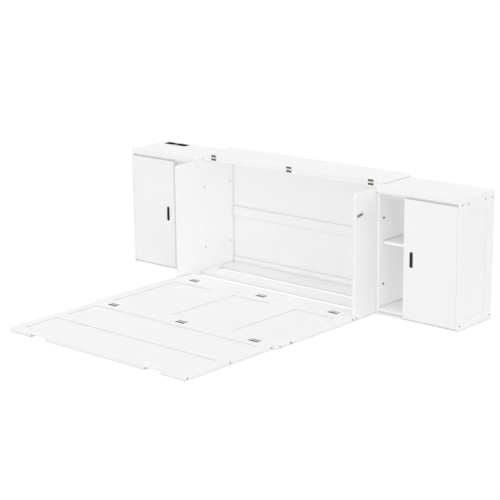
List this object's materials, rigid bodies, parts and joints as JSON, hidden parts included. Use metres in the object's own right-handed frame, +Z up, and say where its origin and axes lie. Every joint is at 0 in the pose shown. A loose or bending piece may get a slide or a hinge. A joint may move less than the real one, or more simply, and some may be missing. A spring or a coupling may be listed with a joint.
{
  "type": "wall bed with side cabinets",
  "caption": "White wall bed: a low open chest with a hinged bed platform unfolded on the floor, a fold-back top flap, and side cabinets with sliding doors.",
  "frame": {"origin": "on the floor, midway across the width and midway along the depth of the opened bed", "axes": "+X to the viewer's right facing the bed from its foot, +Y from the foot of the bed to the wall, +Z up"},
  "size_m": [2.906, 2.187, 0.8875],
  "materials": {
    "white_board": "satin white lacquer on board",
    "brass": "plain rolled brass, lightly brushed",
    "steel": "bright zinc plating",
    "black_metal": "matt black powder coat",
    "black_plastic": "fine matt texture",
    "grey_plastic": "fine matt texture",
    "white_nylon": "plain moulded"
  },
  "bodies": {
    "chest": {"back_panels": "white_board", "back_rails": "white_board", "base_hinge_fixed_leaves": "brass", "base_rail_front": "white_board", "base_rails_rear": "white_board", "cabinet_backs": "white_board", "cabinet_front_rails": "white_board", "cabinet_stretchers": "white_board", "chest_hinge_pins": "brass", "chest_hinge_screws": "brass", "chest_side_left": "white_board", "chest_side_right": "white_board", "fixed_top": "white_board", "flap_hinge_fixed_leaves": "brass", "frame_bolts": "steel", "joining_bolts": "steel", "latch_pivot": "steel", "left_cabinet_floor": "white_board", "left_cabinet_inner_side": "white_board", "left_cabinet_outer_side": "white_board", "left_cabinet_top": "white_board", "left_shelf": "white_board", "power_band": "grey_plastic", "power_housing": "black_plastic", "power_inserts": "black_plastic", "right_cabinet_floor": "white_board", "right_cabinet_inner_side": "white_board", "right_cabinet_outer_side": "white_board", "right_cabinet_top": "white_board", "right_shelf": "white_board", "shelf_pins": "steel"},
    "rear_deck": {"rear_deck_side_rails": "white_board", "rear_deck_back_rail": "white_board", "rear_deck_front_rail": "white_board", "rear_deck_middle_rails": "white_board", "rear_deck_panels": "white_board", "rear_deck_bolts": "steel", "rear_deck_hinge_screws": "brass", "base_hinge_moving_leaves": "brass", "fold_hinge_rear_leaves": "brass", "fold_hinge_pins": "brass", "latch_stud": "steel"},
    "front_deck": {"front_deck_side_rails": "white_board", "front_deck_back_rail": "white_board", "front_deck_middle_rail": "white_board", "front_deck_front_rail": "white_board", "front_deck_panels": "white_board", "front_deck_bolts": "steel", "front_deck_hinge_screws": "brass", "fold_hinge_front_leaves": "brass"},
    "flap": {"flap": "white_board", "flap_hinge_moving_leaves": "brass", "flap_hinge_screws": "brass"},
    "left_door": {"left_door": "white_board", "left_door_pull": "black_metal", "left_door_runners": "white_nylon"},
    "right_door": {"right_door": "white_board", "right_door_pull": "black_metal", "right_door_runners": "white_nylon"},
    "latch": {"latch_bar": "black_metal"}
  },
  "joints": [
    {"name": "base_hinge", "type": "hinge", "parent": "chest", "child": "rear_deck", "pos_m": [0, 0.484, 0.031], "axis": [-1, 0, 0], "range_deg": [0, 90]},
    {"name": "fold_hinge", "type": "hinge", "parent": "rear_deck", "child": "front_deck", "pos_m": [0, -0.3115, 0.031], "axis": [-1, 0, 0], "range_deg": [0, 180]},
    {"name": "flap_hinge", "type": "hinge", "parent": "chest", "child": "flap", "pos_m": [0, 0.7805, 0.8654], "axis": [1, 0, 0], "range_deg": [0, 180]},
    {"name": "left_door_slide", "type": "slide", "parent": "chest", "child": "left_door", "axis": [1, 0, 0], "range_m": [0, 0.222]},
    {"name": "right_door_slide", "type": "slide", "parent": "chest", "child": "right_door", "axis": [-1, 0, 0], "range_m": [0, 0.222]},
    {"name": "latch_hinge", "type": "hinge", "parent": "chest", "child": "latch", "pos_m": [0.8025, 0.5095, 0.697], "axis": [1, 0, 0], "range_deg": [-101, 187.02]}
  ]
}
